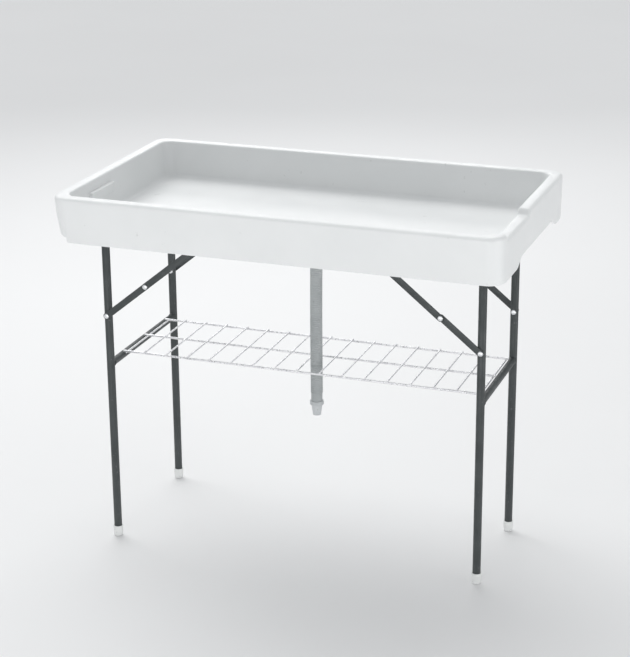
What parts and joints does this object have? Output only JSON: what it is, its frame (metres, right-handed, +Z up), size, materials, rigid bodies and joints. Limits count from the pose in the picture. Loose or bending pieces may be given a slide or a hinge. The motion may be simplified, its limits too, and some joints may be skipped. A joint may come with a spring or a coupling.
{
  "type": "folding tub changing table",
  "caption": "Rectangular moulded tub on two folding steel leg frames with brace links, a wire shelf on the crossbars and a drain hose under the tub.",
  "frame": {"origin": "on the floor under the middle of the tub", "axes": "+X along the tub, +Y from the front side to the back side, +Z up"},
  "size_m": [1.22, 0.7, 1.02],
  "materials": {
    "tub_plastic": "white polyethylene moulding, soft satin",
    "dark_steel": "dark grey satin powder coat",
    "zinc_steel": "bright zinc plate",
    "shelf_wire": "plated wire, slightly dulled",
    "foot_plastic": "off-white moulded plastic",
    "drain_plastic": "light grey moulded plastic",
    "hose_plastic": "grey corrugated hose"
  },
  "bodies": {
    "tub": {"tub_shell": "tub_plastic", "drain_flange": "drain_plastic", "drain_strainer": "zinc_steel", "drain_nut": "drain_plastic", "drain_hose": "hose_plastic", "hose_clamp": "zinc_steel", "hose_collar": "drain_plastic", "hose_nozzle": "drain_plastic", "leg_bracket_front_left": "dark_steel", "pivot_bolt_front_left": "zinc_steel", "leg_screw_front_left": "zinc_steel", "brace_bracket_front_left": "dark_steel", "brace_screw_front_left": "zinc_steel", "brace_rivet_front_left": "zinc_steel", "leg_bracket_back_left": "dark_steel", "pivot_bolt_back_left": "zinc_steel", "leg_screw_back_left": "zinc_steel", "brace_bracket_back_left": "dark_steel", "brace_screw_back_left": "zinc_steel", "brace_rivet_back_left": "zinc_steel", "leg_bracket_front_right": "dark_steel", "pivot_bolt_front_right": "zinc_steel", "leg_screw_front_right": "zinc_steel", "brace_bracket_front_right": "dark_steel", "brace_screw_front_right": "zinc_steel", "brace_rivet_front_right": "zinc_steel", "leg_bracket_back_right": "dark_steel", "pivot_bolt_back_right": "zinc_steel", "leg_screw_back_right": "zinc_steel", "brace_bracket_back_right": "dark_steel", "brace_screw_back_right": "zinc_steel", "brace_rivet_back_right": "zinc_steel"},
    "left_frame": {"crossbar_left": "dark_steel", "leg_front_left": "dark_steel", "foot_front_left": "foot_plastic", "leg_rivet_front_left": "zinc_steel", "leg_back_left": "dark_steel", "foot_back_left": "foot_plastic", "leg_rivet_back_left": "zinc_steel"},
    "left_lower_links": {"lower_link_front_left": "dark_steel", "lower_link_back_left": "dark_steel"},
    "left_upper_links": {"upper_link_front_left": "dark_steel", "middle_rivet_front_left": "zinc_steel", "upper_link_back_left": "dark_steel", "middle_rivet_back_left": "zinc_steel"},
    "right_frame": {"crossbar_right": "dark_steel", "leg_front_right": "dark_steel", "foot_front_right": "foot_plastic", "leg_rivet_front_right": "zinc_steel", "leg_back_right": "dark_steel", "foot_back_right": "foot_plastic", "leg_rivet_back_right": "zinc_steel"},
    "right_lower_links": {"lower_link_front_right": "dark_steel", "lower_link_back_right": "dark_steel"},
    "right_upper_links": {"upper_link_front_right": "dark_steel", "middle_rivet_front_right": "zinc_steel", "upper_link_back_right": "dark_steel", "middle_rivet_back_right": "zinc_steel"},
    "shelf": {"wire_shelf": "shelf_wire"}
  },
  "joints": [
    {"name": "left_leg_fold", "type": "hinge", "parent": "tub", "child": "left_frame", "pos_m": [-0.52, 0, 0.889], "axis": [0, -1, 0], "range_deg": [0, 90]},
    {"name": "right_leg_fold", "type": "hinge", "parent": "tub", "child": "right_frame", "pos_m": [0.52, 0, 0.863], "axis": [0, 1, 0], "range_deg": [0, 90]},
    {"name": "left_lower_link_pivot", "type": "hinge", "parent": "left_frame", "child": "left_lower_links", "pos_m": [-0.52, 0, 0.66], "axis": [0, -1, 0], "range_deg": [0, 56]},
    {"name": "left_upper_link_pivot", "type": "hinge", "parent": "tub", "child": "left_upper_links", "pos_m": [-0.23728, 0, 0.889], "axis": [0, 1, 0], "range_deg": [0, 36]},
    {"name": "right_lower_link_pivot", "type": "hinge", "parent": "right_frame", "child": "right_lower_links", "pos_m": [0.52, 0, 0.66], "axis": [0, 1, 0], "range_deg": [0, 56]},
    {"name": "right_upper_link_pivot", "type": "hinge", "parent": "tub", "child": "right_upper_links", "pos_m": [0.26938, 0, 0.863], "axis": [0, -1, 0], "range_deg": [0, 36]},
    {"name": "shelf_rise", "type": "slide", "parent": "tub", "child": "shelf", "axis": [0, 0, 1], "range_m": [0, 0.372]}
  ],
  "couplings": [
    {"joint": "right_leg_fold", "follows": "left_leg_fold", "ratio": 1},
    {"joint": "left_lower_link_pivot", "follows": "left_leg_fold", "ratio": 0.61331},
    {"joint": "left_upper_link_pivot", "follows": "left_leg_fold", "ratio": 0.39871},
    {"joint": "right_lower_link_pivot", "follows": "left_leg_fold", "ratio": 0.61331},
    {"joint": "right_upper_link_pivot", "follows": "left_leg_fold", "ratio": 0.39871},
    {"joint": "shelf_rise", "follows": "left_leg_fold", "m_per_rad": 0.2365}
  ]
}
